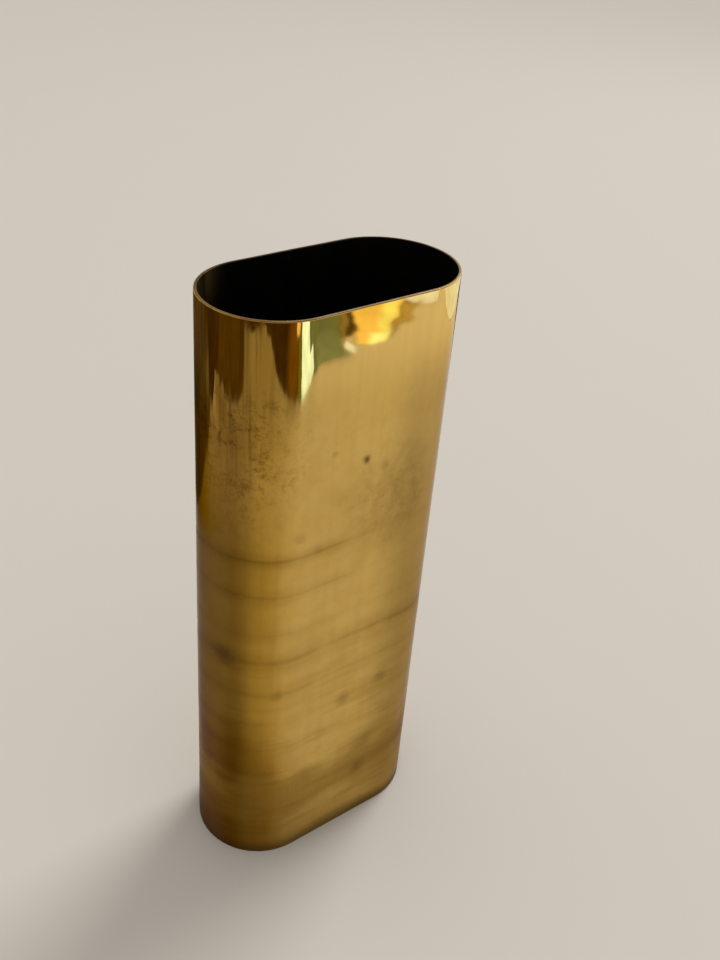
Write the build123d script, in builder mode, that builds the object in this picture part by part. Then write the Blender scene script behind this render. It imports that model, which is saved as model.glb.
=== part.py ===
from build123d import *
import os

# An open-topped brass case with a flat-sided oval section, standing on its closed lower end.
#
# The side wall is one strip of brass sheet bent round an oval former. Its two edges are butted and brazed down
# the middle of the back. A brass floor plate is let into the lower end and soldered in from above, and a felt
# pad fills the shallow recess that is left below it.
#
# The origin is the middle of the face that the case stands on. +Z runs up to the open rim, X is along the flat
# sides, and the brazed joint is on the +Y side. All sizes are in millimetres.

# Driving dimensions
case_width = 100.0  # over the two rounded ends
case_depth = 53.0  # over the two flat sides
case_height = 250.0  # from the standing edge to the rim
sheet = 1.2  # thickness of the bent strip
floor_thickness = 1.5
floor_recess = 2.0  # from the standing edge up to the floor plate's underside
seam_gap = 0.6  # between the butted edges of the strip, filled by the braze
solder_leg = 1.8  # of the solder fillet, along the floor and up the wall

# Finishing and fitting allowances
rim_break = 0.35  # rounding of both edges of the sheet at the rim
foot_break = 0.3  # rounding of the outer edge that the case stands on
floor_clearance = 0.05  # all round the floor plate, so that it drops into the sleeve
felt_margin = 0.8  # all round the felt pad
felt_corner = 0.4  # rounding of the pad's upper edge, where it was cut
solder_edge = 0.2  # thickness that the solder fillet tapers down to
bead_width = 3.2  # of the braze that has run out along the inside of the joint
bead_rise = 0.5  # of that bead above the inner wall
bead_end_gap = 1.0  # between the bead's upper end and the rim

# Sizes that follow from them
inner_width = case_width - 2 * sheet
inner_depth = case_depth - 2 * sheet
inner_back = inner_depth / 2  # the inner wall's Y on the seam side
floor_top = floor_recess + floor_thickness
bead_bottom = floor_top + solder_leg + solder_edge
bead_length = case_height - bead_end_gap - bead_bottom


def draw_wall_section():
    """Draws the closed oval ring of the side wall."""
    SlotOverall(case_width, case_depth)
    SlotOverall(inner_width, inner_depth, mode=Mode.SUBTRACT)


def draw_seam_section():
    """Draws the narrow strip that the butt joint takes up, across the wall and a little past both of its faces."""
    with Locations((0, case_depth / 2 - sheet / 2)):
        Rectangle(seam_gap, 2 * sheet)


def round_wall_edges(wall):
    """Rounds both edges of the rim, and the outer standing edge, of a wall that is still a whole ring."""
    fillet(wall.edges().group_by(Axis.Z)[-1], rim_break)
    standing_face = wall.faces().sort_by(Axis.Z)[0]
    fillet(standing_face.outer_wire().edges(), foot_break)


# The bent strip: an oval tube with a narrow slot where its two edges meet.
with BuildPart() as body_sleeve:
    with BuildSketch():
        draw_wall_section()
    extrude(amount=case_height)
    round_wall_edges(body_sleeve)
    with BuildSketch():
        draw_seam_section()
    extrude(amount=case_height, mode=Mode.SUBTRACT)
body_sleeve.part.label = "body_sleeve"

# The braze: flush with the wall outside and at both ends, with a low rounded bead along the inside.
with BuildPart() as seam_braze:
    with BuildSketch():
        draw_wall_section()
    extrude(amount=case_height)
    round_wall_edges(seam_braze)
    with BuildSketch():
        draw_seam_section()
    extrude(amount=case_height, mode=Mode.INTERSECT)
    with BuildSketch(Plane.XY.offset(bead_bottom)):
        with BuildLine():
            foot = Line((-bead_width / 2, inner_back), (bead_width / 2, inner_back))
            ThreePointArc(foot @ 1, (0, inner_back - bead_rise), foot @ 0)
        make_face()
    extrude(amount=bead_length)
seam_braze.part.label = "seam_braze"

# The floor plate, let up into the sleeve.
with BuildPart() as floor_plate:
    with BuildSketch(Plane.XY.offset(floor_recess)):
        SlotOverall(inner_width - 2 * floor_clearance, inner_depth - 2 * floor_clearance)
    extrude(amount=floor_thickness)
floor_plate.part.label = "floor_plate"

# The space above the solder. Its lower edge is rounded, which gives the solder its hollow face.
with BuildPart() as solder_hollow:
    with BuildSketch(Plane.XY.offset(floor_top + solder_edge)):
        SlotOverall(inner_width - 2 * solder_edge, inner_depth - 2 * solder_edge)
    extrude(amount=solder_leg)
    fillet(solder_hollow.edges().group_by(Axis.Z)[0], solder_leg - solder_edge)

# The fillet of solder that fixes the floor plate and seals it to the wall.
with BuildPart() as floor_solder:
    with BuildSketch(Plane.XY.offset(floor_top)):
        SlotOverall(inner_width, inner_depth)
        SlotOverall(inner_width - 2 * solder_leg, inner_depth - 2 * solder_leg, mode=Mode.SUBTRACT)
    extrude(amount=solder_leg)
    add(solder_hollow.part, mode=Mode.SUBTRACT)
floor_solder.part.label = "floor_solder"

# The felt pad, glued under the floor plate and level with the standing edge.
with BuildPart() as felt_pad:
    with BuildSketch():
        SlotOverall(inner_width - 2 * felt_margin, inner_depth - 2 * felt_margin)
    extrude(amount=floor_recess)
    fillet(felt_pad.edges().group_by(Axis.Z)[-1], felt_corner)
felt_pad.part.label = "felt_pad"

os.makedirs("parts", exist_ok=True)
for piece in (body_sleeve, seam_braze, floor_plate, floor_solder, felt_pad):
    export_step(piece.part, f"parts/{piece.part.label}.step")
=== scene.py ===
"""The looks of an open-topped oval case of tarnished brass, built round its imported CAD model.

The sleeve, braze, solder and felt are rebuilt as finer meshes in the places that the CAD gives them, and the
floor plate keeps its CAD mesh. Every surface has a procedural material. The stage is one pale floor in soft
light. All lengths are in metres, in the CAD frame: +Z is up, the front flat faces -Y and the brazed seam is
in the middle of the +Y side.
"""

import math

import bpy
import numpy as np
from mathutils import Matrix, Vector


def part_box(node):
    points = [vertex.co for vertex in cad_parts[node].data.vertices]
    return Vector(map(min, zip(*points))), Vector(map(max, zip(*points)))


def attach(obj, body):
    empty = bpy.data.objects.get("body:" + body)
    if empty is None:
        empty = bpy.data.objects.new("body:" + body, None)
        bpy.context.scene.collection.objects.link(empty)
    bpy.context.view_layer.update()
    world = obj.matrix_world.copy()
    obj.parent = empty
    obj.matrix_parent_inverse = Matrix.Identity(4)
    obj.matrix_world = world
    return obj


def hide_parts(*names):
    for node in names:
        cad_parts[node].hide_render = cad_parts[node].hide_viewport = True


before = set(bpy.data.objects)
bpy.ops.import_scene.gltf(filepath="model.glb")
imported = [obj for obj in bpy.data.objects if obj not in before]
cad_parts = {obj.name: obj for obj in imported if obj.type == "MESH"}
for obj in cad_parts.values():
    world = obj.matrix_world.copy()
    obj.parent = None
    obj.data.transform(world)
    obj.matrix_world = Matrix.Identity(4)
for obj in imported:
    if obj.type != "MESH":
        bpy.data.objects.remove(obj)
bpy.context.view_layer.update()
MM = 0.001

# ------------------------------------------------------------------------------------------
# Sizes taken from the frame
# ------------------------------------------------------------------------------------------
sleeve_low, sleeve_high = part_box("body_sleeve")
solder_low, solder_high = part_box("floor_solder")
felt_low, felt_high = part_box("felt_pad")
bead_low, bead_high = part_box("seam_braze")

case_width = sleeve_high.x - sleeve_low.x
case_height = sleeve_high.z - sleeve_low.z
end_radius = (sleeve_high.y - sleeve_low.y) / 2
flat_half = case_width / 2 - end_radius
sheet = solder_low.x - sleeve_low.x
sleeve_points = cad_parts["body_sleeve"].data.vertices
seam_half = min(abs(v.co.x) for v in sleeve_points if v.co.y > 0)

RIM_ROUNDING = 0.35 * MM
FOOT_ROUNDING = 0.3 * MM
# How far apart the rows of points up the sleeve are: in general, and at a ring.
ROW_STEP, RING_STEP = 1.7 * MM, 0.3 * MM

# The rings round the sleeve: height, half width, depth, and how strongly tarnish shows them on the left and
# on the right.
RINGS = (
    (157.3 * MM, 1.5 * MM, 0.07 * MM, 1.0, 0.22),
    (141.0 * MM, 1.6 * MM, 0.04 * MM, 0.75, 0.12),
    (123.0 * MM, 1.5 * MM, 0.03 * MM, 0.40, 0.20),
    (109.2 * MM, 2.6 * MM, 0.08 * MM, 0.90, 1.00),
    (92.5 * MM, 2.2 * MM, 0.04 * MM, 0.50, 0.55),
    (76.0 * MM, 2.0 * MM, 0.04 * MM, 0.40, 0.50),
    (62.0 * MM, 1.8 * MM, 0.03 * MM, 0.35, 0.45),
)


# ------------------------------------------------------------------------------------------
# Mesh helpers
# ------------------------------------------------------------------------------------------
def smoothstep(value, low, high):
    """0 at low, 1 at high, with a soft start and end. low may be the larger of the two."""
    share = np.clip((np.asarray(value, float) - low) / (high - low), 0, 1)
    return share * share * (3 - 2 * share)


def oval_path(straight_half, radius, arc_steps, flat_steps, gap=0.0):
    """Points and outward normals round a flat-sided oval, and the length run so far at each point.

    The path starts at the middle of the +Y side and runs clockwise as seen from above. With a gap it is open
    there, by gap to either side of the middle.
    """
    points, normals = [], []
    for x in np.linspace(gap, straight_half, flat_steps // 2 + 1)[:-1]:
        points.append((x, radius))
        normals.append((0, 1))
    for angle in np.linspace(math.pi / 2, -math.pi / 2, arc_steps + 1)[:-1]:
        points.append((straight_half + radius * math.cos(angle), radius * math.sin(angle)))
        normals.append((math.cos(angle), math.sin(angle)))
    for x in np.linspace(straight_half, -straight_half, flat_steps + 1)[:-1]:
        points.append((x, -radius))
        normals.append((0, -1))
    for angle in np.linspace(-math.pi / 2, -3 * math.pi / 2, arc_steps + 1)[:-1]:
        points.append((-straight_half + radius * math.cos(angle), radius * math.sin(angle)))
        normals.append((math.cos(angle), math.sin(angle)))
    left_run = np.linspace(-straight_half, -gap, flat_steps // 2 + 1)
    for x in left_run if gap else left_run[:-1]:
        points.append((x, radius))
        normals.append((0, 1))
    points, normals = np.array(points), np.array(normals, float)
    steps = np.linalg.norm(np.diff(points, axis=0), axis=1)
    return points, normals, np.concatenate(([0.0], np.cumsum(steps)))


def arc_profile(centre, radius, start, end, steps):
    """Points (into the sheet, up) of an arc of the sheet's own section, with its angles in degrees."""
    return [
        (centre[0] + radius * math.cos(math.radians(a)), centre[1] + radius * math.sin(math.radians(a)))
        for a in np.linspace(start, end, steps + 1)
    ]


def wall_faces(row_count, around):
    """Quads of a wall of closed rows, stacked upwards, that run clockwise as seen from above."""
    faces = []
    for row in range(row_count - 1):
        low, high = row * around, (row + 1) * around
        for i in range(around):
            k = (i + 1) % around
            faces.append((low + i, high + i, high + k, low + k))
    return faces


def new_piece(name, vertices, faces, materials, face_materials=None):
    """Makes a smooth-shaded mesh object. face_materials says which of the materials each face has."""
    mesh = bpy.data.meshes.new(name)
    mesh.from_pydata([tuple(v) for v in vertices], [], faces)
    mesh.validate()
    for material in materials:
        mesh.materials.append(material)
    if face_materials is not None:
        mesh.polygons.foreach_set("material_index", face_materials)
    mesh.polygons.foreach_set("use_smooth", [True] * len(mesh.polygons))
    mesh.update()
    piece = bpy.data.objects.new(name, mesh)
    bpy.context.scene.collection.objects.link(piece)
    return piece


def finish_piece(piece, node):
    """Puts the piece on the root body in place of its CAD node, which it hides."""
    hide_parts(node)
    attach(piece, "root")


# ------------------------------------------------------------------------------------------
# The sleeve
# ------------------------------------------------------------------------------------------
# The slow waves that hand work leaves: depth, turns round the sleeve, height that one wave climbs, phase.
WAVES = (
    (0.050 * MM, 5, 210 * MM, 0.4),
    (0.035 * MM, 9, -130 * MM, 1.9),
    (0.020 * MM, 14, 75 * MM, 4.1),
    (0.012 * MM, 4, 34 * MM, 2.7),
)
# Shallow dents: share of the way round, height, radius, depth.
DENTS = (
    (0.735, 109 * MM, 6 * MM, 0.10 * MM),
    (0.60, 60 * MM, 9 * MM, 0.10 * MM),
    (0.42, 182 * MM, 11 * MM, 0.08 * MM),
    (0.23, 140 * MM, 8 * MM, 0.12 * MM),
    (0.12, 75 * MM, 10 * MM, 0.10 * MM),
    (0.90, 196 * MM, 9 * MM, 0.08 * MM),
)


def sheet_sink(run, height, total_run):
    """How far the sheet's surface lies inside its true oval, from hand work: waves, rings and a few dents.

    All of it dies out at the foot, so that the floor plate still fits, and at the seam, so that the braze is
    flush. The waves are slight near the rim, where the former held the sheet true.
    """
    share = run / total_run
    waves = 0.0
    for depth, turns, climb, phase in WAVES:
        waves = waves + depth * np.sin(2 * math.pi * (turns * share + height / climb) + phase)
    slight = 1 - 0.85 * smoothstep(height, 190 * MM, 222 * MM)
    sink = sum(depth for depth, *_ in WAVES) + waves * slight
    for ring_height, half_width, ring_depth, _, _ in RINGS:
        wander = 0.5 * MM * np.sin(2 * math.pi * (2 * share + ring_height / (50 * MM)))
        offset = (height - ring_height - wander) / half_width
        sink = sink + ring_depth * np.exp(-offset * offset)
    for dent_share, dent_height, dent_radius, dent_depth in DENTS:
        across = (share - dent_share) * total_run
        up = height - dent_height
        sink = sink + dent_depth * np.exp(-(across * across + up * up * 0.5) / dent_radius**2)
    above_foot = smoothstep(height, 8 * MM, 30 * MM)
    past_seam = smoothstep(np.minimum(run, total_run - run), 2 * MM, 14 * MM)
    return sink * above_foot * past_seam


def outer_heights():
    """Heights of the rows of points up the outside, closer together at rings and beside the roundings."""
    low, high = FOOT_ROUNDING, case_height - RIM_ROUNDING
    heights = list(np.arange(low, high, ROW_STEP))
    for ring_height, half_width, *_ in RINGS:
        reach = 2.4 * half_width + 0.5 * MM
        heights = [h for h in heights if abs(h - ring_height) > reach]
        heights += list(np.arange(ring_height - reach, ring_height + reach, RING_STEP))
    heights = [h for h in heights if low + 0.2 * MM < h < high - 0.4 * MM]
    return [low, low + 0.1 * MM] + sorted(heights) + [high - 0.1 * MM, high]


def sleeve_section():
    """The sheet's own section as (into the sheet, up) points, and where its rim and its inside start."""
    section = arc_profile((FOOT_ROUNDING, FOOT_ROUNDING), FOOT_ROUNDING, 270, 180, 3)[:-1]
    section += [(0.0, h) for h in outer_heights()]
    top = case_height - RIM_ROUNDING
    section += arc_profile((RIM_ROUNDING, top), RIM_ROUNDING, 180, 90, 4)[1:]
    rim_start = len(section) - 2
    inside = sheet - RIM_ROUNDING
    section.append((sheet / 2, case_height))
    inner_start = len(section) + 1
    section += arc_profile((inside, top), RIM_ROUNDING, 90, 0, 4)
    section.append((sheet, top - 0.1 * MM))
    section += [(sheet, h) for h in np.arange(top - 2 * MM, 1 * MM, -4 * MM)]
    section += [(sheet, 0.1 * MM), (sheet, 0.0), (sheet / 2, 0.0)]
    return np.array(section), rim_start, inner_start


def sweep_section(points, normals, section, sink):
    """Vertices of a section carried along a path: one row of section points for each path point."""
    inward = section[None, :, 0] + sink
    x = points[:, 0, None] - normals[:, 0, None] * inward
    y = points[:, 1, None] - normals[:, 1, None] * inward
    z = np.broadcast_to(section[None, :, 1], x.shape)
    return np.stack([x, y, z], axis=-1).reshape(-1, 3)


def sweep_faces(path_count, section_count, closed):
    """Quads between neighbouring path points, for a section that is a closed loop. So may the path be."""
    faces = []
    for i in range(path_count if closed else path_count - 1):
        here, there = i * section_count, (i + 1) % path_count * section_count
        for j in range(section_count):
            k = (j + 1) % section_count
            faces.append((here + j, here + k, there + k, there + j))
    return faces


def build_sleeve(outside, rim, inside):
    """The bent sheet, open at the seam, with one material each for its outside, its rim and its inside."""
    points, normals, run = oval_path(flat_half, end_radius, 64, 32, gap=seam_half)
    section, rim_start, inner_start = sleeve_section()
    sink = sheet_sink(run[:, None], section[None, :, 1], run[-1])
    vertices = sweep_section(points, normals, section, sink)
    count = len(section)
    faces = sweep_faces(len(points), count, closed=False)
    section_slots = [0] * rim_start + [1] * (inner_start - rim_start) + [2] * (count - inner_start)
    slots = section_slots * (len(points) - 1)
    # The sheet's two butted edges.
    last = (len(points) - 1) * count
    faces.append(tuple(range(count - 1, -1, -1)))
    faces.append(tuple(last + j for j in range(count)))
    slots += [1, 1]
    piece = new_piece("body_sleeve_visual", vertices, faces, (outside, rim, inside), slots)
    finish_piece(piece, "body_sleeve")


# ------------------------------------------------------------------------------------------
# The braze, the solder and the felt
# ------------------------------------------------------------------------------------------
def build_braze(material):
    """The filled joint: flush outside, and inside a low bead with the ripples it set in.

    Its section starts at the slot's foot, goes round the slot's outer corners and comes back over the bead.
    """
    outer, inner = end_radius, end_radius - sheet
    bead_half = (bead_high.x - bead_low.x) / 2
    bead_rise = inner - bead_low.y
    bead_bottom = solder_high.z + 0.2 * MM
    bead_top = case_height - 1.0 * MM
    row_step, ripple_pitch = 0.8 * MM, 2.6 * MM
    across = np.linspace(-1, 1, 11)[::-1]
    heights = [0.0, 2 * MM, *np.arange(bead_bottom, bead_top, row_step), bead_top, case_height]
    vertices = []
    for z in heights:
        swell = smoothstep(z, bead_bottom - 0.3 * MM, bead_bottom + 2 * MM)
        swell = swell * smoothstep(z, bead_top + 0.3 * MM, bead_top - 3 * MM)
        ripple_phase = 2 * math.pi * z / ripple_pitch + 1.5 * math.sin(z / (7 * MM))
        ripple = 1 - 0.12 * (0.5 + 0.5 * math.sin(ripple_phase))
        width = 1 - 0.10 * (0.5 + 0.5 * math.sin(z / (4.1 * MM)) * math.sin(z / (9.7 * MM) + 1))
        half = seam_half + (bead_half * width - seam_half) * swell
        worn = 0.3 * RIM_ROUNDING if z == case_height else 0.0
        slot_foot = inner + worn + 0.06 * MM
        vertices += [(-seam_half, slot_foot, z), (-seam_half, outer - worn, z)]
        vertices += [(seam_half, outer - worn, z), (seam_half, slot_foot, z)]
        for t in across:
            crown = (1 - t * t) * bead_rise * swell * ripple
            vertices.append((half * t, inner - crown + worn, z))
    around = 4 + len(across)
    faces = wall_faces(len(heights), around)
    last = (len(heights) - 1) * around
    faces.append(tuple(range(around)))
    faces.append(tuple(last + i for i in range(around - 1, -1, -1)))
    piece = new_piece("seam_braze_visual", vertices, faces, (material,))
    finish_piece(piece, "seam_braze")


def build_solder(material):
    """The fillet round the floor: a hollow-faced ring whose edge wanders where the solder ran."""
    points, normals, run = oval_path(flat_half, end_radius - sheet, 72, 40)
    leg = solder_high.z - solder_low.z
    share = run / (run[-1] + np.linalg.norm(points[0] - points[-1]))
    lumps = 0.5 * np.sin(2 * math.pi * 11 * share + 0.7) + 0.3 * np.sin(2 * math.pi * 23 * share)
    lumps = lumps + 0.2 * np.sin(2 * math.pi * 41 * share + 2.2)
    size = 0.80 + 0.20 * lumps
    # The section is in legs, as (away from the wall, up). Its free face is an arc about the far corner.
    radius = 0.93
    hollow = [(1 - radius * math.cos(a), 1 - radius * math.sin(a)) for a in np.linspace(0, math.pi / 2, 9)]
    section = np.array([(0.0, 0.0), (0.0, 1.0), *hollow, (1.0, 0.0)])
    inward = section[None, :, 0] * leg * size[:, None]
    up = section[None, :, 1] * leg * size[:, None]
    x = points[:, 0, None] - normals[:, 0, None] * inward
    y = points[:, 1, None] - normals[:, 1, None] * inward
    vertices = np.stack([x, y, solder_low.z + up], axis=-1).reshape(-1, 3)
    faces = sweep_faces(len(points), len(section), closed=True)
    piece = new_piece("floor_solder_visual", vertices, faces, (material,))
    finish_piece(piece, "floor_solder")


def build_felt(material):
    """The felt pad: an oval slab with soft edges and a faintly uneven lower face."""
    radius = felt_high.y
    straight = felt_high.x - radius
    thickness = felt_high.z - felt_low.z
    points, normals, _ = oval_path(straight, radius, 60, 40)
    around = len(points)
    # The edge, as (inset, height) points from the lower face to the upper one.
    profile = [(0.5 * MM, 0.0), (0.15 * MM, 0.12 * MM), (0.0, 0.5 * MM), (0.0, 1.4 * MM)]
    profile += [(0.15 * MM, 1.8 * MM), (0.5 * MM, thickness)]
    # How far each ring of points on a face lies from the edge towards the pad's middle line.
    ring_shares = (0.03, 0.08, 0.16, 0.26, 0.38, 0.52, 0.68, 0.84)
    rng = np.random.default_rng(7)
    vertices = []
    fray = 0.12 * MM * rng.random(around)
    for inset, height in profile:
        ring = points - normals * (inset + fray[:, None])
        vertices += [(x, y, height) for x, y in ring]
    faces = wall_faces(len(profile), around)
    for start, underside in ((0, True), ((len(profile) - 1) * around, False)):
        outline = vertices[start:start + around]
        previous = list(range(start, start + around))
        for share in ring_shares:
            here = len(vertices)
            for x, y, level in outline:
                axis_x = max(-straight, min(straight, x))
                lift = 0.06 * MM * rng.random() if underside else 0.0
                vertices.append((axis_x + (x - axis_x) * (1 - share), y * (1 - share), level + lift))
            ring = list(range(here, here + around))
            for i in range(around):
                k = (i + 1) % around
                quad = (previous[i], previous[k], ring[k], ring[i])
                faces.append(quad if underside else quad[::-1])
            previous = ring
        faces.append(tuple(previous if underside else previous[::-1]))
    piece = new_piece("felt_pad_visual", vertices, faces, (material,))
    finish_piece(piece, "felt_pad")
    return piece


# ------------------------------------------------------------------------------------------
# Materials
# ------------------------------------------------------------------------------------------
class Shading:
    """A new material, with short calls that add nodes to it and return their output sockets."""

    def __init__(self, name):
        self.material = bpy.data.materials.new(name)
        self.material.use_nodes = True
        self.nodes = self.material.node_tree.nodes
        self.links = self.material.node_tree.links
        self.shader = self.nodes["Principled BSDF"]
        self.place = self.nodes.new("ShaderNodeTexCoord").outputs["Object"]
        split = self.nodes.new("ShaderNodeSeparateXYZ")
        self.links.new(self.place, split.inputs[0])
        self.x, self.y, self.z = split.outputs

    def put(self, socket, value):
        """Feeds an input with a socket, or sets its plain value."""
        if isinstance(value, bpy.types.NodeSocket):
            self.links.new(value, socket)
        elif hasattr(socket.default_value, "__len__") and not hasattr(value, "__len__"):
            socket.default_value = [value] * len(socket.default_value)
        elif hasattr(value, "__len__") and len(socket.default_value) == 4 and len(value) == 3:
            socket.default_value = (*value, 1.0)
        else:
            socket.default_value = value

    def math(self, operation, *values):
        """The result of an operation on two or more values, taken from left to right."""
        result = values[0]
        for value in values[1:]:
            node = self.nodes.new("ShaderNodeMath")
            node.operation = operation
            self.put(node.inputs[0], result)
            self.put(node.inputs[1], value)
            result = node.outputs[0]
        return result

    def plus(self, *values):
        return self.math("ADD", *values)

    def minus(self, a, b):
        return self.math("SUBTRACT", a, b)

    def times(self, *values):
        return self.math("MULTIPLY", *values)

    def most(self, *values):
        return self.math("MAXIMUM", *values)

    def apart(self, a, b):
        """How far apart two values are."""
        return self.most(self.minus(a, b), self.minus(b, a))

    def step(self, value, low, high, top=1.0):
        """0 at low and top at high, with a soft start and end. low may be the larger of the two."""
        node = self.nodes.new("ShaderNodeMapRange")
        node.interpolation_type = "SMOOTHSTEP"
        if low > high:
            low, high, bottom, top = high, low, top, 0.0
        else:
            bottom = 0.0
        self.put(node.inputs["Value"], value)
        node.inputs["From Min"].default_value = low
        node.inputs["From Max"].default_value = high
        node.inputs["To Min"].default_value = bottom
        node.inputs["To Max"].default_value = top
        return node.outputs["Result"]

    def noise(self, size, stretch=(1, 1, 1), detail=3.0, roughness=0.55, shift=0.0):
        """Noise from 0 to 1. Its blotches are about size across, times stretch along each axis."""
        scale = self.nodes.new("ShaderNodeVectorMath")
        scale.operation = "MULTIPLY_ADD"
        self.put(scale.inputs[0], self.place)
        scale.inputs[1].default_value = [1 / (size * s) for s in stretch]
        scale.inputs[2].default_value = (shift, shift * 0.7, shift * 1.3)
        node = self.nodes.new("ShaderNodeTexNoise")
        node.inputs["Scale"].default_value = 1.0
        node.inputs["Detail"].default_value = detail
        node.inputs["Roughness"].default_value = roughness
        self.links.new(scale.outputs[0], node.inputs["Vector"])
        return node.outputs["Fac"]

    def mix(self, share, a, b, kind="MIX"):
        """Colour a turned into colour b by a share from 0 to 1."""
        node = self.nodes.new("ShaderNodeMix")
        node.data_type, node.blend_type = "RGBA", kind
        self.put(node.inputs["Factor"], share)
        self.put(node.inputs[6], a)
        self.put(node.inputs[7], b)
        return node.outputs[2]

    def film(self, share, colour, kept):
        """A colour under a film that keeps a part each of its red, green and blue."""
        return self.mix(share, colour, kept, "MULTIPLY")

    def distance(self, point):
        node = self.nodes.new("ShaderNodeVectorMath")
        node.operation = "DISTANCE"
        self.put(node.inputs[0], self.place)
        node.inputs[1].default_value = point
        return node.outputs["Value"]

    def along(self, direction):
        """How far a place lies along a direction from the origin."""
        node = self.nodes.new("ShaderNodeVectorMath")
        node.operation = "DOT_PRODUCT"
        self.put(node.inputs[0], self.place)
        node.inputs[1].default_value = direction
        return node.outputs["Value"]

    def bump(self, height, depth, normal=None):
        """A normal tilted by a height from 0 to 1 of the given depth. A negative depth makes pits."""
        node = self.nodes.new("ShaderNodeBump")
        node.inputs["Distance"].default_value = depth
        self.put(node.inputs["Height"], height)
        if normal is not None:
            self.links.new(normal, node.inputs["Normal"])
        return node.outputs["Normal"]

    def surface(self, **values):
        """Feeds the shader: keys are its inputs' names with _ for a space."""
        for key, value in values.items():
            self.put(self.shader.inputs[key.replace("_", " ")], value)
        return self.material


POLISHED = (0.80, 0.548, 0.168)
GOLD_TARNISH = (0.60, 0.375, 0.085)
BROWN_TARNISH = (0.31, 0.175, 0.028)
HEAT_TINT = (0.58, 0.33, 0.15)
DARK_SPOT_AND_SHADE = (0.085, 0.045, 0.010)
RIM_BRASS, RIM_BACK_SHADE = (0.80, 0.64, 0.42), (0.16, 0.095, 0.030)
INSIDE_BLACK, INSIDE_BROWN = (0.0022, 0.0018, 0.0014), (0.0055, 0.0040, 0.0022)
INSIDE_PAINTED_LIGHT = (0.24, 0.160, 0.045)
BRAZE_PALE, BRAZE_DEEP = (0.62, 0.43, 0.17), (0.42, 0.27, 0.09)
PLATE_BRASS, PLATE_STAIN = (0.17, 0.115, 0.045), (0.055, 0.042, 0.022)
SOLDER_BRIGHT, SOLDER_FROSTED = (0.30, 0.29, 0.27), (0.16, 0.15, 0.13)
FELT_SHADED, FELT_LIT, FELT_WORN = (0.010, 0.045, 0.026), (0.035, 0.125, 0.072), (0.045, 0.10, 0.055)
# What films keep of red, green and blue. On the left end, at its edge and low down, the films are tarnish
# and painted shade together.
LEFT_TARNISH_AND_SHADE, LEFT_EDGE_TARNISH_AND_SHADE = (0.95, 0.87, 0.62), (0.52, 0.46, 0.50)
SPECK_FILM, RING_FILM = (0.50, 0.45, 0.34), (0.62, 0.57, 0.44)
LOWER_LEFT_TARNISH_AND_SHADE, LOWER_EDGE_TARNISH_AND_SHADE = (0.72, 0.70, 0.50), (0.80, 0.86, 1.00)
RIGHT_FILM, FOOT_LEFT_TARNISH_AND_SHADE = (0.68, 0.67, 0.68), (0.62, 0.52, 0.34)
# The tint of glancing reflections: of bare brass, and under the films on the left edge and on the right. The
# left edge's tint is partly painted shade.
BARE_GLANCE, LEFT_EDGE_GLANCE_TARNISH_AND_SHADE, RIGHT_GLANCE = (0.95, 0.85, 0.65), (0.40, 0.34, 0.28), (0.74, 0.66, 0.60)

# Tarnish smudges on the outside: place, radius, strength.
FRONT, BACK = -end_radius, end_radius
SMUDGES = (
    ((0.2 * MM, FRONT, 190.4 * MM), 1.9 * MM, 1.0),
    ((9.0 * MM, FRONT, 185.5 * MM), 2.6 * MM, 0.36),
    ((-14.5 * MM, FRONT, 197.0 * MM), 1.4 * MM, 0.25),
    ((17.6 * MM, FRONT, 78.5 * MM), 3.8 * MM, 0.40),
    ((-1.5 * MM, FRONT, 75.0 * MM), 4.0 * MM, 0.42),
    ((-33.0 * MM, -24.7 * MM, 92.0 * MM), 3.0 * MM, 0.35),
    ((12.0 * MM, FRONT, 43.0 * MM), 4.6 * MM, 0.34),
    ((10.0 * MM, FRONT, 28.0 * MM), 4.6 * MM, 0.46),
    ((-48.0 * MM, -9.6 * MM, 109.5 * MM), 5.4 * MM, 0.85),
    ((-27.0 * MM, -26.0 * MM, 166.0 * MM), 2.6 * MM, 0.26),
    ((-19.0 * MM, FRONT, 158.0 * MM), 2.6 * MM, 0.22),
    ((30.0 * MM, BACK, 150.0 * MM), 3.0 * MM, 0.45),
    ((-12.0 * MM, BACK, 96.0 * MM), 4.2 * MM, 0.40),
    ((47.0 * MM, 10.0 * MM, 58.0 * MM), 3.8 * MM, 0.45),
)


def ring_marks(s):
    """Tarnish lying along the rings: a narrow core in a soft band, broken up by noise."""
    height = s.plus(s.z, s.times(s.noise(38 * MM, detail=1.0), 1.6 * MM))
    patchy = s.step(s.noise(20 * MM, detail=2.0, shift=9.0), 0.32, 0.62)
    to_right = s.step(s.x, -16 * MM, 10 * MM)
    marks = 0.0
    for ring_height, half_width, _, on_left, on_right in RINGS:
        offset = s.apart(height, ring_height + 0.8 * MM)
        core = s.step(offset, half_width * 1.15, half_width * 0.1, 0.8)
        band = s.step(offset, half_width * 3.6, 0.0, 0.50)
        strength = s.plus(s.times(to_right, on_right - on_left), on_left)
        marks = s.most(marks, s.times(s.most(core, band), strength))
    return s.times(marks, s.plus(s.times(patchy, 0.45), 0.55))


def speck_marks(s):
    """Dark freckles: many at the upper left, and a few elsewhere below the rim."""
    fine = s.step(s.noise(1.6 * MM, detail=3.0, roughness=0.7, shift=1.0), 0.50, 0.72, 0.65)
    coarse = s.step(s.noise(3.8 * MM, detail=4.0, roughness=0.75, shift=6.0), 0.47, 0.66)
    patchy = s.plus(s.step(s.noise(12 * MM, detail=2.0, shift=7.0), 0.34, 0.60, 0.65), 0.35)
    upper_left = s.times(s.step(s.x, -20 * MM, -42 * MM), s.step(s.z, 155 * MM, 205 * MM))
    share = s.plus(s.times(upper_left, 0.88), 0.08)
    below_rim = s.step(s.z, 232 * MM, 214 * MM)
    return s.times(s.most(fine, coarse), patchy, share, below_rim)


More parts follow.
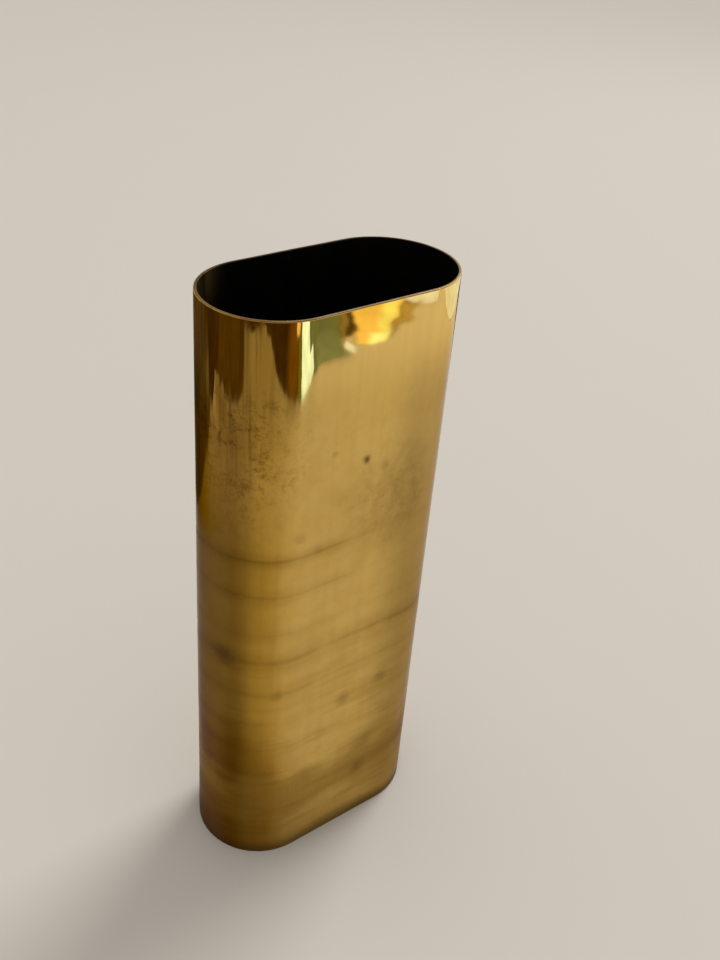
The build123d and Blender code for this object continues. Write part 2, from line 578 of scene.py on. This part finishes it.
def smudge_marks(s):
    """The single smudges, with ragged edges."""
    ragged = s.times(s.minus(s.noise(2.4 * MM, detail=3.0), 0.5), 2.6 * MM)
    marks = 0.0
    for place, radius, strength in SMUDGES:
        gap = s.plus(s.distance(place), ragged)
        marks = s.most(marks, s.step(gap, radius * 1.4, radius * 0.1, strength))
    return marks


def breath_mark(s):
    """A blotchy grey-green bloom at the upper right of the front."""
    gap = s.plus(s.distance((14 * MM, FRONT, 170 * MM)), s.times(s.noise(14 * MM), 24 * MM))
    blotches = s.step(s.noise(4.5 * MM, detail=4.0, roughness=0.65, shift=4.0), 0.34, 0.66, 0.8)
    return s.times(s.step(gap, 44 * MM, 16 * MM), s.plus(blotches, 0.45))


def heat_mark(s):
    """The band beside the seam that the torch has coloured."""
    gap = s.plus(s.apart(s.x, 0.0), s.times(s.noise(5 * MM), 5 * MM))
    return s.times(s.step(gap, 11 * MM, 3 * MM), s.step(s.y, 20 * MM, 26 * MM))


def gold_tone(s, clouds, mottle, away_from_rim):
    """Brass that dulls away from the rim, in clouds and mottles, with the streaks that polishing left."""
    polish = s.step(s.noise(3.4 * MM, stretch=(1, 1, 24), detail=2.0, shift=11.0), 0.34, 0.66)
    dulled = s.plus(s.times(clouds, 0.32), s.times(away_from_rim, 0.16))
    colour = s.mix(dulled, POLISHED, GOLD_TARNISH)
    colour = s.mix(s.times(mottle, 0.30), colour, GOLD_TARNISH)
    return s.mix(s.times(polish, 0.16), colour, GOLD_TARNISH)


def side_tarnish_and_shade(s, colour, left_edge, lower, lower_edge, right):
    """The films on the left and right parts of the sleeve: tarnish on the right, and tarnish with painted
    shade on the left.
    """
    streaky_x = s.plus(s.x, s.times(s.noise(2.8 * MM, stretch=(1, 1, 30), shift=8.0), 7 * MM))
    lower_left = s.times(s.step(streaky_x, -24 * MM, -38 * MM), lower)
    # Painted shade with tarnish: the left end is darkened, as by the reflection of the floor in the case's
    # shadow.
    colour = s.film(s.step(s.x, -24 * MM, -40 * MM), colour, LEFT_TARNISH_AND_SHADE)
    colour = s.film(left_edge, colour, LEFT_EDGE_TARNISH_AND_SHADE)
    colour = s.film(lower_left, colour, LOWER_LEFT_TARNISH_AND_SHADE)
    colour = s.film(lower_edge, colour, LOWER_EDGE_TARNISH_AND_SHADE)
    return s.film(right, colour, RIGHT_FILM)


def foot_tone(s, colour, foot_line, low_down):
    """The browner foot: a general tint, a film on the left that is tarnish and painted shade together, and a
    band a little way up.
    """
    foot_left = s.times(s.step(s.x, -17 * MM, -40 * MM), s.step(foot_line, 104 * MM, 68 * MM))
    foot_band = s.times(s.step(foot_line, 74 * MM, 60 * MM), s.step(foot_line, 36 * MM, 52 * MM))
    colour = s.mix(s.times(low_down, 0.28), colour, BROWN_TARNISH)
    # Painted shade with tarnish: the foot's left part is darkened, as by the reflection of the case's shadow
    # on the floor.
    colour = s.film(foot_left, colour, FOOT_LEFT_TARNISH_AND_SHADE)
    return s.mix(s.times(foot_band, 0.65), colour, BROWN_TARNISH)


def brass_outside():
    """Half-polished brass: bright by the rim, marked by tarnish below it, browner towards the foot, with
    painted shade on the left end and along the foot.
    """
    s = Shading("brass_outside")
    away_from_rim = s.step(s.z, 242 * MM, 205 * MM)
    clouds = s.times(s.step(s.noise(46 * MM, detail=4.0), 0.40, 0.66), away_from_rim)
    mottle = s.times(s.step(s.noise(9 * MM, detail=4.0, shift=3.0), 0.38, 0.70), away_from_rim)
    foot_line = s.plus(s.z, s.times(s.noise(26 * MM, detail=1.5, shift=5.0), 40 * MM))
    low_down = s.step(foot_line, 84 * MM, 52 * MM)
    left_edge = s.times(s.step(s.x, -40 * MM, -48 * MM), s.step(s.z, 236 * MM, 205 * MM))
    lower = s.step(s.z, 200 * MM, 152 * MM)
    lower_edge = s.times(s.step(s.x, -44 * MM, -49 * MM), lower, s.step(foot_line, 70 * MM, 104 * MM))
    upper_edge = s.times(s.step(s.x, -34 * MM, -42 * MM), s.step(s.z, 178 * MM, 215 * MM))
    right = s.times(s.step(s.x, 4 * MM, 27 * MM), s.step(s.z, 240 * MM, 206 * MM))

    upright = s.step(s.noise(2.4 * MM, stretch=(1, 1, 26), detail=3.0), 0.44, 0.68)
    streaks = s.times(upright, upper_edge)
    level = s.step(s.noise(5.5 * MM, stretch=(9, 9, 1), detail=3.0, shift=2.0), 0.42, 0.66)
    smears = s.times(level, s.step(s.z, 150 * MM, 60 * MM, 0.36))
    rings, specks, spots = ring_marks(s), speck_marks(s), smudge_marks(s)

    colour = gold_tone(s, clouds, mottle, away_from_rim)
    colour = side_tarnish_and_shade(s, colour, left_edge, lower, lower_edge, right)
    colour = s.film(s.times(breath_mark(s), 0.7), colour, RIGHT_FILM)
    colour = s.mix(s.times(heat_mark(s), 0.45), colour, HEAT_TINT)
    colour = foot_tone(s, colour, foot_line, low_down)
    colour = s.film(s.times(streaks, 0.80), colour, SPECK_FILM)
    colour = s.film(smears, colour, RING_FILM)
    colour = s.film(rings, colour, RING_FILM)
    colour = s.film(specks, colour, SPECK_FILM)
    colour = s.mix(s.times(spots, 0.80), colour, DARK_SPOT_AND_SHADE)
    # Painted shade: a dark band along the foot, for the reflection of the contact shadow.
    colour = s.mix(s.step(s.z, 8 * MM, 1 * MM, 0.65), colour, DARK_SPOT_AND_SHADE)

    hairlines = s.noise(0.22 * MM, stretch=(1, 1, 40), detail=2.0)
    toned = s.plus(s.times(clouds, 0.05), s.times(low_down, 0.14), s.times(mottle, 0.03))
    marked = s.plus(s.times(s.most(specks, spots), 0.10), s.times(s.most(rings, streaks, smears), 0.10))
    worn = s.plus(s.times(hairlines, 0.02), s.step(s.z, 218 * MM, 150 * MM, 0.11))
    roughness = s.plus(toned, marked, worn, 0.025)
    # The oxide on the lower left edge is thick enough to hide some of the metal.
    oxide = s.times(s.step(s.x, -45.5 * MM, -49.5 * MM, 0.27), s.step(s.z, 172 * MM, 150 * MM))
    # The films also take the whiteness out of glancing reflections. On the left edge this is partly painted
    # shade.
    glancing = s.mix(right, s.mix(left_edge, BARE_GLANCE, LEFT_EDGE_GLANCE_TARNISH_AND_SHADE), RIGHT_GLANCE)

    ripple = s.times(s.noise(3.2 * MM, stretch=(1, 1, 20), detail=1.0), upper_edge)
    normal = s.bump(spots, -0.02 * MM)
    normal = s.bump(hairlines, 0.0002 * MM, normal)
    normal = s.bump(ripple, 0.15 * MM, normal)
    return s.surface(
        Base_Color=colour, Metallic=s.minus(1.0, oxide), Roughness=roughness, Specular_Tint=glancing,
        Normal=normal
    )


def brass_rim():
    """The sheet's cut edge: cleaner and brighter, with fine file marks across it, and painted shade over its
    back half.
    """
    s = Shading("brass_rim")
    files = s.noise(0.5 * MM, stretch=(1, 1, 6), detail=2.0)
    worn = s.step(s.noise(7 * MM, detail=3.0), 0.40, 0.62)
    colour = s.mix(s.times(worn, 0.6), RIM_BRASS, GOLD_TARNISH)
    colour = s.mix(s.step(s.x, -30 * MM, -46 * MM, 0.75), colour, BROWN_TARNISH)
    # Painted shade: the rim is darkened over its back half.
    colour = s.mix(s.step(s.y, 0.0, 22 * MM, 0.85), colour, RIM_BACK_SHADE)
    roughness = s.plus(s.times(files, 0.14), 0.14)
    return s.surface(Base_Color=colour, Metallic=1.0, Roughness=roughness, Normal=s.bump(files, 0.01 * MM))


def brass_inside():
    """The inner wall: never polished, oxidised almost black, with painted light by the rim at the left end,
    where light grazes in.
    """
    s = Shading("brass_inside")
    cloud = s.noise(18 * MM, detail=4.0)
    runs = s.noise(5 * MM, stretch=(1, 1, 12), detail=3.0)
    by_rim = s.times(s.step(s.z, case_height - 24 * MM, case_height), s.step(runs, 0.25, 0.60, 0.9))
    colour = s.mix(s.step(cloud, 0.35, 0.7), INSIDE_BLACK, INSIDE_BROWN)
    # Painted light: a lighter brown by the rim at the left end, where light grazes the inner wall.
    colour = s.mix(s.times(by_rim, s.step(s.x, -26 * MM, -46 * MM)), colour, INSIDE_PAINTED_LIGHT)
    return s.surface(
        Base_Color=colour, Metallic=0.5, Roughness=s.plus(s.times(runs, 0.20), 0.30),
        Specular_IOR_Level=0.25, Normal=s.bump(cloud, 0.05 * MM)
    )


def braze_metal():
    """Braze: a paler, slightly porous brass, oxidised like the wall where it runs down the inside."""
    s = Shading("braze_metal")
    pores = s.step(s.noise(0.6 * MM, detail=3.0), 0.56, 0.70)
    tone = s.noise(6 * MM, detail=3.0)
    inner = s.step(s.y, end_radius - 0.3 * MM, end_radius - sheet)
    colour = s.mix(s.step(tone, 0.35, 0.65), BRAZE_PALE, BRAZE_DEEP)
    colour = s.mix(s.times(pores, 0.7), colour, DARK_SPOT_AND_SHADE)
    colour = s.mix(inner, colour, s.mix(tone, INSIDE_BLACK, INSIDE_BROWN))
    roughness = s.plus(s.times(pores, 0.25), 0.26)
    return s.surface(
        Base_Color=colour, Metallic=s.minus(1.0, s.times(inner, 0.5)), Roughness=roughness,
        Specular_IOR_Level=0.25, Normal=s.bump(pores, -0.04 * MM)
    )


def plate_metal():
    """The floor plate: dull oxidised brass with old water stains."""
    s = Shading("plate_metal")
    stain = s.step(s.noise(14 * MM, detail=5.0, roughness=0.65), 0.42, 0.60)
    grain = s.noise(0.4 * MM, stretch=(30, 1, 1), detail=2.0)
    colour = s.mix(stain, PLATE_BRASS, PLATE_STAIN)
    roughness = s.plus(s.times(stain, 0.18), s.times(grain, 0.12), 0.30)
    return s.surface(Base_Color=colour, Metallic=1.0, Roughness=roughness, Normal=s.bump(grain, 0.006 * MM))


def solder_metal():
    """Tin solder as it set: dull grey, with frosted patches."""
    s = Shading("solder_metal")
    frost = s.step(s.noise(2.2 * MM, detail=4.0), 0.40, 0.62)
    colour = s.mix(frost, SOLDER_BRIGHT, SOLDER_FROSTED)
    roughness = s.plus(s.times(frost, 0.25), 0.28)
    return s.surface(Base_Color=colour, Metallic=1.0, Roughness=roughness, Normal=s.bump(frost, 0.05 * MM))


def green_felt():
    """Pressed wool felt: matted fibres, painted lit on top and shaded between, with worn patches."""
    s = Shading("green_felt")
    fibres = s.noise(0.35 * MM, stretch=(3.5, 1, 1), detail=4.0, roughness=0.7)
    cross = s.noise(0.35 * MM, stretch=(1, 3.5, 1), detail=4.0, roughness=0.7, shift=4.0)
    matted = s.most(fibres, cross)
    patches = s.step(s.noise(9 * MM, detail=3.0), 0.40, 0.65)
    # Painted light and shade: the fibres' tops are lit and the gaps between them shaded.
    colour = s.mix(s.step(matted, 0.45, 0.75), FELT_SHADED, FELT_LIT)
    colour = s.mix(s.times(patches, 0.35), colour, FELT_WORN)
    return s.surface(Base_Color=colour, Roughness=0.95, Sheen_Weight=0.5, Normal=s.bump(matted, 0.25 * MM))


# ------------------------------------------------------------------------------------------
# Stage, light and camera
# ------------------------------------------------------------------------------------------
FLOOR_PALE, FLOOR_GRAIN = (0.62, 0.585, 0.530), (0.54, 0.50, 0.45)
FLOOR_BY_WINDOW, FLOOR_DIM = (0.80, 0.77, 0.73), (0.20, 0.155, 0.060)
# The surround, and what reflections meet of it: behind the case, in front of it, and just above the floor.
SURROUND = (0.65, 0.635, 0.61)
SKY_BEHIND, SKY_IN_FRONT, SKY_LOW = (0.36, 0.32, 0.28), (0.16, 0.13, 0.10), (0.50, 0.465, 0.42)

# In the brass's reflections only, the floor ends as a table does, with a dim room beyond it. These are
# outlines on the floor's plane, in metres and anticlockwise. The table is the first two together.
TABLE = (
    (-0.566, -0.145), (-0.437, -0.375), (-0.385, -0.424), (0.36, -0.424), (0.60, -0.17), (0.60, 0.24),
    (-0.41, 0.262),
)
TABLE_CORNER = (
    (0.335, -0.400), (0.410, -0.455), (0.430, -0.455), (0.575, -0.395), (0.600, -0.170), (0.400, -0.170),
)
ROOM_DARK, ROOM_BROWN, ROOM_UNEVEN = (0.040, 0.022, 0.004), (0.085, 0.046, 0.008), (0.3, 0.3, 0.3)
WALL_LOW, WINDOW = (0.215, 0.185, 0.100), (1.36, 1.98, 2.90)
# What stands in that room: colour, softness of its edges, outline. Later ones cover earlier ones.
ROOM_THINGS = (
    # The pale wall on the window's side, in two pieces, and the brown wall at the back, lighter low down.
    ((1.15, 1.30, 1.70), 0.004, ((0.400, -0.452), (0.46, -2.0), (6.0, -2.0), (6.0, -0.40), (0.47, -0.40))),
    ((1.15, 1.30, 1.60), 0.004, ((0.567, -0.40), (6.0, -0.40), (6.0, 1.0), (0.567, 1.0))),
    ((0.105, 0.075, 0.040), 0.030, ((-0.34, 0.38), (0.20, 0.38), (0.20, 3.0), (-0.34, 3.0))),
    (WALL_LOW, 0.030, ((-0.33, 0.300), (0.10, 0.300), (0.10, 0.385), (-0.33, 0.385))),
    (WALL_LOW, 0.004, ((-0.33, 0.260), (0.10, 0.251), (0.10, 0.335), (-0.33, 0.335))),
    # A dark chair back at the left.
    ((0.105, 0.062, 0.005), 0.006,
     ((-0.90, -0.142), (-0.415, -0.142), (-0.435, 0.06), (-0.425, 0.20), (-0.90, 0.26))),
    # In front, from left to right: a brown edge and a green one, the olive and brown of a sofa, and the
    # oranges, yellows and whites of a lit cushion.
    ((0.200, 0.098, 0.005), 0.050, ((-0.15, -0.75), (-0.012, -0.75), (0.010, -0.418), (-0.11, -0.418))),
    ((0.190, 0.220, 0.025), 0.004, ((-0.012, -0.75), (0.024, -0.75), (0.048, -0.418), (0.010, -0.418))),
    ((0.215, 0.270, 0.150), 0.003,
     ((0.137, -0.75), (0.480, -0.75), (0.281, -0.394), (0.225, -0.402), (0.146, -0.43))),
    ((0.290, 0.370, 0.260), 0.010, ((0.225, -0.46), (0.30, -0.45), (0.281, -0.394), (0.225, -0.402))),
    ((0.360, 0.280, 0.095), 0.002, ((0.480, -0.75), (0.543, -0.75), (0.298, -0.418), (0.281, -0.394))),
    ((1.36, 1.02, 0.34), 0.002, ((0.546, -0.75), (0.740, -0.75), (0.327, -0.401), (0.300, -0.411))),
    ((1.45, 1.55, 0.66), 0.005, ((0.650, -0.75), (0.720, -0.75), (0.335, -0.410), (0.322, -0.414))),
    ((1.50, 1.85, 1.30), 0.003, ((0.308, -0.409), (0.322, -0.424), (0.341, -0.413), (0.328, -0.403))),
    ((0.660, 0.490, 0.160), 0.002, ((0.334, -0.404), (0.392, -0.455), (0.410, -0.455), (0.352, -0.412))),
    ((1.20, 1.45, 2.00), 0.001, ((0.290, -0.411), (0.301, -0.419), (0.298, -0.407), (0.286, -0.397))),
    # The two bright parts of a window, and a lamp beside it.
    (WINDOW, 0.002, ((0.024, -0.75), (0.137, -0.75), (0.148, -0.418), (0.050, -0.418))),
    (WINDOW, 0.002, ((0.144, -0.476), (0.186, -0.476), (0.196, -0.425), (0.170, -0.418), (0.146, -0.418))),
    ((1.20, 0.85, 0.42), 0.004, ((-0.050, -0.75), (0.000, -0.75), (0.012, -0.540), (-0.032, -0.540))),
)


def within(s, corners, soft):
    """1 inside a convex outline on the floor's plane and 0 outside it, with soft edges."""
    inside = 1.0
    for start, end in zip(corners, corners[1:] + corners[:1]):
        length = math.dist(start, end)
        inward = ((start[1] - end[1]) / length, (end[0] - start[0]) / length, 0.0)
        edge = inward[0] * start[0] + inward[1] * start[1]
        inside = s.times(inside, s.step(s.along(inward), edge - soft, edge + soft))
    return inside


def waver(s, size, reach):
    """Moves the places that a material reads by up to about reach, so that outlines come out wavy."""
    node = s.nodes.new("ShaderNodeTexNoise")
    node.inputs["Scale"].default_value = 1 / size
    node.inputs["Detail"].default_value = 1.0
    s.links.new(s.place, node.inputs["Vector"])
    shifted = s.nodes.new("ShaderNodeVectorMath")
    shifted.operation = "MULTIPLY_ADD"
    s.links.new(node.outputs["Color"], shifted.inputs[0])
    shifted.inputs[1].default_value = (2 * reach,) * 3
    shifted.inputs[2].default_value = (-reach,) * 3
    moved = s.nodes.new("ShaderNodeVectorMath")
    s.links.new(s.place, moved.inputs[0])
    s.links.new(shifted.outputs[0], moved.inputs[1])
    s.place = moved.outputs[0]


def mirrored_room(s):
    """The colour of the room beyond the table, and 1 where the room is seen instead of the table."""
    waver(s, 24 * MM, 7 * MM)
    on_table = s.most(within(s, TABLE, 2 * MM), within(s, TABLE_CORNER, 2 * MM))
    seen = s.minus(1.0, on_table)
    room = s.mix(s.noise(120 * MM, detail=2.0), ROOM_DARK, ROOM_BROWN)
    for colour, soft, corners in ROOM_THINGS:
        thing = within(s, corners, soft)
        room = s.mix(thing, room, colour)
        seen = s.most(seen, thing)
    uneven = s.step(s.noise(45 * MM, detail=2.0, shift=2.0), 0.30, 0.70)
    return s.film(s.times(uneven, 0.35), room, ROOM_UNEVEN), seen


def join_shaders(s, share, a, b):
    """Shader a turned into shader b by a share from 0 to 1."""
    node = s.nodes.new("ShaderNodeMixShader")
    s.put(node.inputs[0], share)
    s.links.new(a, node.inputs[1])
    s.links.new(b, node.inputs[2])
    return node.outputs[0]


def floor_material():
    """A plain pale surface. In reflections only, it ends at a table's edges, with a dim room beyond."""
    s = Shading("pale_floor")
    pale = s.mix(s.times(s.noise(60 * MM, detail=3.0), 0.06), FLOOR_PALE, FLOOR_GRAIN)
    # Reflections also meet a brighter side by the window, a dim front left corner and a dim left edge.
    mirrored = s.nodes.new("ShaderNodeLightPath").outputs["Is Glossy Ray"]
    dim_corner = s.step(s.along((-0.8, -0.6, 0.0)), 0.15, 0.50, 0.70)
    dim_edge = s.times(s.step(s.x, -0.355, -0.415, 0.75), s.step(s.y, 0.05, 0.11))
    pale = s.mix(s.times(mirrored, s.step(s.x, 0.12, 0.42)), pale, FLOOR_BY_WINDOW)
    pale = s.mix(s.times(mirrored, dim_corner), pale, FLOOR_DIM)
    pale = s.mix(s.times(mirrored, dim_edge), pale, FLOOR_DIM)
    s.surface(Base_Color=pale, Roughness=0.62, Specular_IOR_Level=0.25)
    # Only rays as steep as those of the camera's view meet the room, so that lower views show a pale studio.
    geometry = s.nodes.new("ShaderNodeNewGeometry")
    ray = s.nodes.new("ShaderNodeSeparateXYZ")
    s.links.new(geometry.outputs["Incoming"], ray.inputs[0])
    steep = s.step(ray.outputs["Z"], math.sin(math.radians(19)), math.sin(math.radians(21)))
    room, seen = mirrored_room(s)
    dim_room = s.nodes.new("ShaderNodeEmission")
    s.put(dim_room.inputs["Color"], room)
    shader = join_shaders(s, s.times(mirrored, seen, steep), s.shader.outputs[0], dim_room.outputs[0])
    # From below, the floor lets the view through, so that the underside can be looked at.
    see_through = s.nodes.new("ShaderNodeBsdfTransparent").outputs[0]
    shader = join_shaders(s, geometry.outputs["Backfacing"], shader, see_through)
    s.links.new(shader, s.nodes["Material Output"].inputs["Surface"])
    return s.material


def build_floor():
    """One square far larger than the case. It takes the case's shadow and casts none."""
    reach = 60 * case_width
    corners = [(-reach, -reach, 0), (reach, -reach, 0), (reach, reach, 0), (-reach, reach, 0)]
    mesh = bpy.data.meshes.new("floor")
    mesh.from_pydata(corners, [], [(0, 1, 2, 3)])
    mesh.materials.append(floor_material())
    floor = bpy.data.objects.new("floor", mesh)
    bpy.context.scene.collection.objects.link(floor)
    floor.visible_shadow = False


def aimed_lamp(name, light, place, target):
    """Puts a light at a place, aimed at a target."""
    lamp = bpy.data.objects.new(name, light)
    lamp.location = place
    lamp.rotation_mode = "QUATERNION"
    lamp.rotation_quaternion = (Vector(target) - Vector(place)).to_track_quat("-Z", "Y")
    bpy.context.scene.collection.objects.link(lamp)
    return lamp


def soft_light(name, place, target, size, power, colour):
    """A square area light of the given side, aimed at a point."""
    light = bpy.data.lights.new(name, "AREA")
    light.size, light.energy, light.color = size, power, colour
    return aimed_lamp(name, light, place, target)


def broad_light(name, place, target, spread, strength, colour):
    """Even light, as from far away, that isn't mirrored. spread, in degrees, softens its shadows."""
    light = bpy.data.lights.new(name, "SUN")
    light.angle, light.energy, light.color = math.radians(spread), strength, colour
    aimed_lamp(name, light, place, target).visible_glossy = False


def soft_choice(nodes, links, value, low, high, at_low, at_high):
    """A colour that turns from one to another as a value goes from low to high. at_high may be a socket."""
    share = nodes.new("ShaderNodeMapRange")
    share.interpolation_type = "SMOOTHSTEP"
    share.inputs["From Min"].default_value = low
    share.inputs["From Max"].default_value = high
    links.new(value, share.inputs["Value"])
    tone = nodes.new("ShaderNodeMix")
    tone.data_type = "RGBA"
    links.new(share.outputs["Result"], tone.inputs["Factor"])
    tone.inputs[6].default_value = (*at_low, 1)
    if isinstance(at_high, bpy.types.NodeSocket):
        links.new(at_high, tone.inputs[7])
    else:
        tone.inputs[7].default_value = (*at_high, 1)
    return tone.outputs[2]


def build_world():
    """A pale surround for the camera and for fill light. Reflections meet a dim one, paler at the back."""
    world = bpy.data.worlds.new("surround")
    world.use_nodes = True
    nodes, links = world.node_tree.nodes, world.node_tree.links
    backdrop = nodes["Background"]
    backdrop.inputs["Color"].default_value = (*SURROUND, 1)
    backdrop.inputs["Strength"].default_value = 1.0
    direction = nodes.new("ShaderNodeSeparateXYZ")
    links.new(nodes.new("ShaderNodeTexCoord").outputs["Generated"], direction.inputs[0])
    sky = soft_choice(nodes, links, direction.outputs["Y"], -0.35, 0.45, SKY_IN_FRONT, SKY_BEHIND)
    sky = soft_choice(nodes, links, direction.outputs["Z"], 0.0, 0.40, SKY_LOW, sky)
    mirrored = nodes.new("ShaderNodeBackground")
    links.new(sky, mirrored.inputs["Color"])
    choose = nodes.new("ShaderNodeMixShader")
    links.new(nodes.new("ShaderNodeLightPath").outputs["Is Glossy Ray"], choose.inputs[0])
    links.new(backdrop.outputs[0], choose.inputs[1])
    links.new(mirrored.outputs[0], choose.inputs[2])
    links.new(choose.outputs[0], nodes["World Output"].inputs["Surface"])
    bpy.context.scene.world = world


def build_camera():
    """A hand-held view from the front left, looking down, with the frame turned a little."""
    azimuth, elevation, roll = math.radians(-39.8), math.radians(32.9), math.radians(4.95)
    distance, shift_right, shift_up = 4.3 * case_width, 0.183 * case_width, 0.352 * case_width
    back = Vector((
        math.sin(azimuth) * math.cos(elevation),
        -math.cos(azimuth) * math.cos(elevation),
        math.sin(elevation),
    ))
    level_right = (-back).cross(Vector((0, 0, 1))).normalized()
    level_up = level_right.cross(-back)
    right = math.cos(roll) * level_right + math.sin(roll) * level_up
    up = math.cos(roll) * level_up - math.sin(roll) * level_right
    target = Vector((0, 0, case_height / 2))
    place = target + back * distance + right * shift_right + up * shift_up
    data = bpy.data.cameras.new("camera")
    data.lens, data.sensor_width = 40.1, 36.0
    data.clip_start, data.clip_end = 0.01, 50.0
    camera = bpy.data.objects.new("camera", data)
    axes = Matrix((right, up, back)).transposed().to_4x4()
    camera.matrix_world = Matrix.Translation(place) @ axes
    bpy.context.scene.collection.objects.link(camera)
    bpy.context.scene.camera = camera


def light_underside(felt):
    """A lamp under the floor that lights only the felt, for views from below."""
    below = (0, 0, -0.5)
    lamp = soft_light("underside_lamp", below, (0, 0, 0), size=0.5, power=2.8, colour=(1.0, 0.97, 0.92))
    lit = bpy.data.collections.new("lit_from_below")
    lit.objects.link(felt)
    lamp.light_linking.receiver_collection = lit


build_sleeve(brass_outside(), brass_rim(), brass_inside())
build_braze(braze_metal())
build_solder(solder_metal())
felt = build_felt(green_felt())
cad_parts["floor_plate"].material_slots[0].material = plate_metal()

build_floor()
build_world()
middle = (0, 0, case_height / 2)
soft_light("window_light", (1.5, 0.5, 1.25), middle, size=1.1, power=4.0, colour=(1.0, 0.97, 0.93))
broad_light("daylight", (1.5, 0.45, 1.3), middle, spread=28, strength=1.7, colour=(1.0, 0.98, 0.95))
light_underside(felt)
build_camera()
bpy.context.scene.view_settings.view_transform = "Standard"
